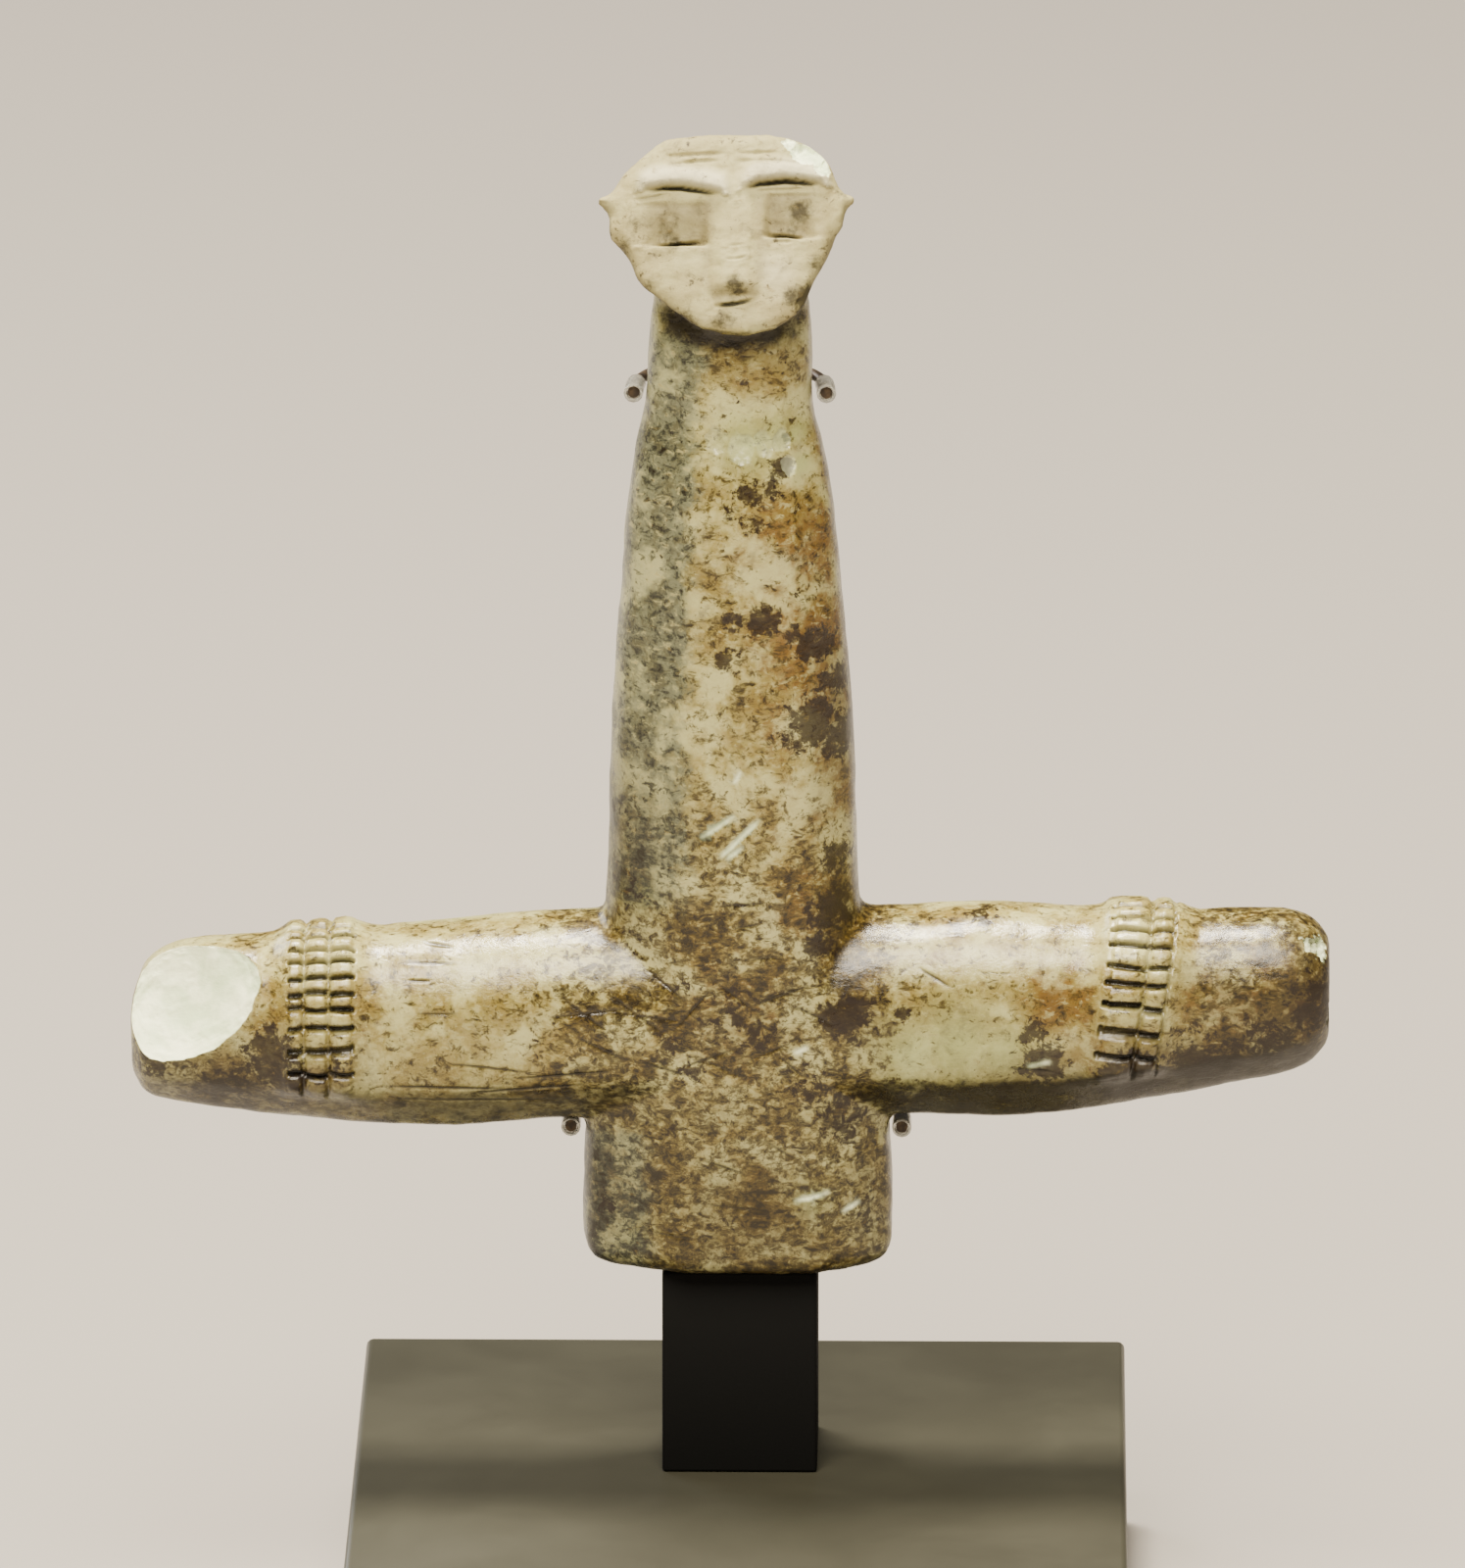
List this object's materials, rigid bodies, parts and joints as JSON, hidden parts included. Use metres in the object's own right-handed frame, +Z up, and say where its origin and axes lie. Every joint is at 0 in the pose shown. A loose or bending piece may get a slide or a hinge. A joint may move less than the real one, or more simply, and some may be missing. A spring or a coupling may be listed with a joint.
{
  "type": "cruciform figurine",
  "caption": "Carved stone cruciform figurine with outstretched arms, incised bracelets and a small tilted mask-like head, held by wires on a black post and square foot.",
  "frame": {"origin": "middle of the foot's underside, on the surface it stands on, below the middle of the arm span", "axes": "+Z up along the neck, +X to the viewer's right along the arms, -Y towards the viewer whom the face looks at"},
  "size_m": [0.0926, 0.06, 0.121],
  "materials": {
    "stone": "polished, mottled",
    "black_paint": "matte",
    "foot_paint": "satin",
    "wire": "satin",
    "clear_sleeve": "clear, glossy"
  },
  "bodies": {
    "root": {"figurine": "stone", "foot": "foot_paint", "post": "black_paint", "spine": "black_paint", "neck_wire": "wire", "arm_wire": "wire", "neck_sleeve_left": "clear_sleeve", "neck_sleeve_right": "clear_sleeve", "arm_sleeve_left": "clear_sleeve", "arm_sleeve_right": "clear_sleeve"}
  },
  "joints": []
}
